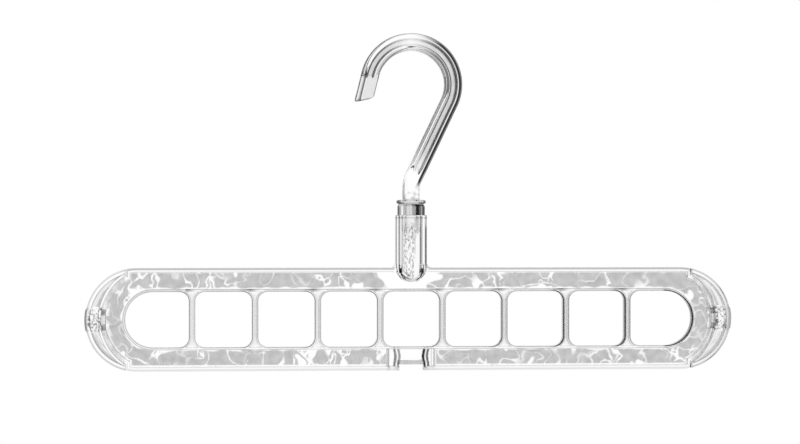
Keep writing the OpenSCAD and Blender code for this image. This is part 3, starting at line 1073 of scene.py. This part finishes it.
def mark_hook(hook):
    """Grain, greyed as painted shade, on the channel's floor and the tip; painted shade on the bar's
    edges.
    """
    x, y, z = points_of(hook)
    z = z + FRAME_Z
    across, outward, on_tip = across_bar(x, z)
    bar = fade(z, BEND_Z - 1, BEND_Z + 4)
    steep = fade(np.abs(outward), -0.15, 0.75)
    up_leg = 0.15 + 0.85 * fade(z, BEND_Z + 6, BEND_Z + 24)
    deep = BAR_D / 2 - np.abs(y)
    at_face = deep < 0.5
    in_channel = fade(CHANNEL_W / 2 - CHANNEL_SLANT - np.abs(across), -0.1, 0.2) * fade(deep, 1, 1.3)
    channel_grain_and_painted_shade = in_channel * (0.1 + 0.9 * steep) * up_leg
    tip_face = on_tip * fade(1.6 - across, 0, 0.4) * fade(across, -4.4, -3.6) * at_face
    mark(hook, "grain_and_painted_shade", bar * (0.75 * channel_grain_and_painted_shade + 0.5 * tip_face))
    channel_edge = band(np.abs(across), CHANNEL_W / 2, 0.45, 0.25) * fade(deep, 0.05, 0.3)
    channel_edge *= (0.15 + 0.83 * steep) * up_leg
    wide, thin = side_painted_shade(y, across, outward, on_tip)
    thin *= (0.35 + 0.65 * steep) * np.where(across < 0, up_leg, 1)
    corner = fade(BAR_EDGE_R - deep, 0, 0.9)
    lines = channel_edge + corner * np.maximum(wide, thin)
    lines += on_tip * tip_painted_shade(x, z, across, at_face)
    mark(hook, "edge", bar * lines + flange_painted_shade(x, y, z))


def mark_bush(bush):
    """Painted shade at both sides of the band and over its right part, and grain greyed as painted
    shade.
    """
    x, y, z = points_of(bush)
    outer = np.hypot(x, y) > SLEEVE_R + 0.5
    sides = drawn(x, [(-7.1, 0.25, 0.2, 0.95), (7.0, 0.4, 0.2, 1)])
    shade_patches = 0.55 + 0.4 * fade(speckle(x, y, 0 * z, 1.4, 1, 8.8), -0.15, 0.15)
    under_seat = BUSH_Z - SEAT_H
    seat = fade(z + FRAME_Z, under_seat - 0.1, under_seat + 0.1) * 0.6
    mark(bush, "grain_and_painted_shade", outer * 0.45 * fade(speckle(x, y, 0 * z, 1.2, 1, 4.4), -0.2, 0.2))
    mark(bush, "edge", outer * (sides + fade(x, -0.8, 0.8) * shade_patches + seat))


def mark_cap(cap):
    """Streaked grain with painted grey shade along the cap's web, and painted shade on its rims and
    round its latches.
    """
    x, y, z = points_of(cap)
    left = x < 0
    rim = stadium_gap(x, z, CAP_X, HALF_H)
    wall = -stadium_gap(x, z, END_X, HALF_H + CAP_GAP)
    streaks = np.array([wave(a / 1.6, b / 9, 2.4) for a, b in zip(rim, z)])
    web = fade(CAP_WEB_T / 2 + 0.4 - np.abs(y), 0, 0.1)
    strength = np.where(left, 0.95, 0.65) + 0.35 * fade(z, -4, 4)
    mark(cap, "grain_and_painted_shade", web * strength * (0.3 + 0.7 * fade(0.15 - streaks, 0, 0.2)))
    lines = band(rim, 0.2, 0.4, 0.5) * 0.42 + near(rim, RIM_T, 0.5) * 0.4
    lines += near(wall, 0, 0.5) * 0.35 + near(wall, CAP_WALL_T, 0.5) * 0.3
    lines += web * near(streaks, 0.15, 0.08) * 0.25
    in_tab = fade(TAB_H / 2 - np.abs(z), 0, 1)
    specks = fade(speckle(x, y, z, 1.1, 0.8, 6.6), 0.05, 0.25) * (rim > RIM_T / 2) * 0.8
    tongues = band(np.abs(x), END_X + HALF_H - RIM_T / 2, 0.7, 0.3) * 0.85
    pad = fade(0.9 - rim, 0, 0.5) * np.where(left, 0.4, 0.2)
    mark(cap, "edge", lines + in_tab * (specks + tongues + pad))


# Materials

PLASTIC_IOR = 1.57
CLEAR_ROUGH = 0.015
GRAIN_ROUGH = (0.08, 0.16)
# The grey that the grain is painted with as shade, spread at random by the mottle.
GRAIN_PAINTED_SHADE = 0.545
GRAIN_SPREAD = (0.83, 1.14)
# The darkest painted shade, where the edge marks are full.
EDGE_PAINTED_SHADE = 0.001
MOTTLE_SCALE = 220
FINE_SCALE = 900
BUMP_DEPTH = 0.0002


def clear_plastic(name):
    """Clear moulded plastic: grain is rougher and greyed with painted shade; edge marks are painted
    shade, dark and reflecting less.
    """
    material = bpy.data.materials.new(name)
    material.use_nodes = True
    tree = material.node_tree
    shader = tree.nodes["Principled BSDF"]
    shader.inputs["IOR"].default_value = PLASTIC_IOR
    shader.inputs["Transmission Weight"].default_value = 1
    place = tree.nodes.new("ShaderNodeTexCoord")
    mottle = add_noise(tree, place, MOTTLE_SCALE, 3)
    fine = add_noise(tree, place, FINE_SCALE, 2)
    grain_and_painted_shade = add_attribute(tree, "grain_and_painted_shade")
    edge = add_attribute(tree, "edge")
    # Painted shade: the grain's grey and the edge marks' dark go into the base colour, and the edge
    # marks' painted shade also dims the reflection.
    greys = [GRAIN_PAINTED_SHADE * share for share in GRAIN_SPREAD]
    painted_grain_grey = mix_values(tree, grain_and_painted_shade, 1.0, map_range(tree, mottle, 0.3, 0.7, *greys))
    shade = mix_values(tree, edge, 1.0, EDGE_PAINTED_SHADE)
    tone = maths(tree, "MULTIPLY", painted_grain_grey, shade)
    tree.links.new(tone, shader.inputs["Base Color"])
    tree.links.new(shade, shader.inputs["Specular Tint"])
    rough = mix_values(tree, grain_and_painted_shade, CLEAR_ROUGH, map_range(tree, fine, 0.3, 0.7, *GRAIN_ROUGH))
    tree.links.new(rough, shader.inputs["Roughness"])
    bump = tree.nodes.new("ShaderNodeBump")
    bump.inputs["Distance"].default_value = BUMP_DEPTH
    tree.links.new(maths(tree, "MULTIPLY", grain_and_painted_shade, 0.5), bump.inputs["Strength"])
    tree.links.new(mottle, bump.inputs["Height"])
    tree.links.new(bump.outputs["Normal"], shader.inputs["Normal"])
    return material


def add_noise(tree, place, scale, detail):
    node = tree.nodes.new("ShaderNodeTexNoise")
    node.inputs["Scale"].default_value = scale
    node.inputs["Detail"].default_value = detail
    tree.links.new(place.outputs["Object"], node.inputs["Vector"])
    return node.outputs["Fac"]


def add_attribute(tree, name):
    node = tree.nodes.new("ShaderNodeAttribute")
    node.attribute_name = name
    return node.outputs["Fac"]


def connect(tree, value, target):
    """Links an output, or sets a plain number."""
    if isinstance(value, (int, float)):
        target.default_value = value
    else:
        tree.links.new(value, target)


def mix_values(tree, share, a, b):
    node = tree.nodes.new("ShaderNodeMix")
    connect(tree, share, node.inputs["Factor"])
    connect(tree, a, node.inputs["A"])
    connect(tree, b, node.inputs["B"])
    return node.outputs["Result"]


def map_range(tree, value, low, high, to_low, to_high, kind="LINEAR"):
    """A node that moves a value from one range to another, kept inside the second."""
    node = tree.nodes.new("ShaderNodeMapRange")
    node.interpolation_type = kind
    connect(tree, value, node.inputs["Value"])
    node.inputs["From Min"].default_value = low
    node.inputs["From Max"].default_value = high
    node.inputs["To Min"].default_value = to_low
    node.inputs["To Max"].default_value = to_high
    return node.outputs["Result"]


def maths(tree, operation, a, b=0.0):
    node = tree.nodes.new("ShaderNodeMath")
    node.operation = operation
    connect(tree, a, node.inputs[0])
    connect(tree, b, node.inputs[1])
    return node.outputs[0]


# Light, floor and camera

RIGHT_FLAG = (0.906, 0.423, 0.0)
LEFT_FLAG = (-0.906, 0.423, 0.0)
RIGHT_FLAG_DARK = 0.6
LEFT_FLAG_DARK = 0.25
FLAG_START = 0.9
FLAG_FULL = 0.97
LEAST_LIGHT = 0.03
FLOOR_Z = -0.3
FLOOR_R = 1.5
CAMERA_TARGET = Vector((-0.006, 0, -0.0743))
CAMERA_DISTANCE = 1.4
CAMERA_TURN = math.radians(-5.5)
CAMERA_LENS = 116.7


def lobe(tree, way, axis):
    """How far a direction lies inside a cone about an axis, on both of its sides, 0 to 1."""
    node = tree.nodes.new("ShaderNodeVectorMath")
    node.operation = "DOT_PRODUCT"
    tree.links.new(way.outputs["Generated"], node.inputs[0])
    node.inputs[1].default_value = axis
    size = maths(tree, "ABSOLUTE", node.outputs["Value"])
    return map_range(tree, size, FLAG_START, FLAG_FULL, 0, 1, "SMOOTHSTEP")


def studio_world():
    """White all round to the camera; plastic also sees two pairs of soft flags beside the white."""
    world = bpy.data.worlds.new("studio")
    bpy.context.scene.world = world
    world.use_nodes = True
    tree = world.node_tree
    background = tree.nodes["Background"]
    way = tree.nodes.new("ShaderNodeTexCoord")
    right = maths(tree, "MULTIPLY", lobe(tree, way, RIGHT_FLAG), RIGHT_FLAG_DARK)
    left = maths(tree, "MULTIPLY", lobe(tree, way, LEFT_FLAG), LEFT_FLAG_DARK)
    light = maths(tree, "SUBTRACT", maths(tree, "SUBTRACT", 1.0, right), left)
    light = maths(tree, "MAXIMUM", light, LEAST_LIGHT)
    path = tree.nodes.new("ShaderNodeLightPath")
    tone = mix_values(tree, path.outputs["Is Camera Ray"], light, 1.0)
    tree.links.new(tone, background.inputs["Color"])


def make_floor():
    """A plain pale floor, white wherever it is seen directly, in gloss or through the plastic."""
    bpy.ops.mesh.primitive_circle_add(
        vertices=96, radius=FLOOR_R, fill_type="NGON", location=(0, 0, FLOOR_Z)
    )
    floor = bpy.context.object
    floor.name = "floor"
    material = bpy.data.materials.new("floor_paint")
    material.use_nodes = True
    tree = material.node_tree
    paint = tree.nodes["Principled BSDF"]
    paint.inputs["Base Color"].default_value = (0.9, 0.9, 0.9, 1)
    paint.inputs["Roughness"].default_value = 0.9
    glow = tree.nodes.new("ShaderNodeEmission")
    path = tree.nodes.new("ShaderNodeLightPath")
    seen = maths(tree, "MAXIMUM", path.outputs["Is Camera Ray"], path.outputs["Is Glossy Ray"])
    seen = maths(tree, "MAXIMUM", seen, path.outputs["Is Transmission Ray"])
    blend = tree.nodes.new("ShaderNodeMixShader")
    tree.links.new(seen, blend.inputs[0])
    tree.links.new(paint.outputs[0], blend.inputs[1])
    tree.links.new(glow.outputs[0], blend.inputs[2])
    tree.links.new(blend.outputs[0], tree.nodes["Material Output"].inputs["Surface"])
    floor.data.materials.append(material)


def make_camera():
    """The photo's view, from slightly left of straight ahead."""
    camera = bpy.data.objects.new("camera", bpy.data.cameras.new("camera"))
    bpy.context.scene.collection.objects.link(camera)
    back = Vector((math.sin(CAMERA_TURN), -math.cos(CAMERA_TURN), 0))
    camera.location = CAMERA_TARGET + CAMERA_DISTANCE * back
    camera.rotation_euler = (CAMERA_TARGET - camera.location).to_track_quat("-Z", "Y").to_euler()
    camera.data.sensor_width = 36
    camera.data.lens = CAMERA_LENS
    bpy.context.scene.camera = camera


def dress(piece, material, body, slot, *nodes):
    """Gives a piece its material and its body, and hides the CAD nodes that it stands for; the slot
    is not used.
    """
    piece.data.materials.clear()
    piece.data.materials.append(material)
    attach(piece, body)
    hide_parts(*nodes)


bpy.context.scene.view_settings.view_transform = "Standard"
make_camera()
make_floor()
studio_world()
clear = clear_plastic("clear_plastic")
hook = make_hook()
mark_hook(hook)
bush = make_bush()
mark_bush(bush)
shell = make_frame()
mark_frame(shell)
caps = [make_cap("left_cap", -1), make_cap("right_cap", 1)]
for cap in caps:
    mark_cap(cap)
dress(hook, clear, "hook", "hook_clear", "hook")
dress(bush, clear, "frame", "bush_clear", "swivel_bush")
dress(shell, clear, "frame", "frame_clear", "frame")
dress(caps[0], clear, "frame", "cap_clear", "left_end_cap")
dress(caps[1], clear, "frame", "cap_clear", "right_end_cap")
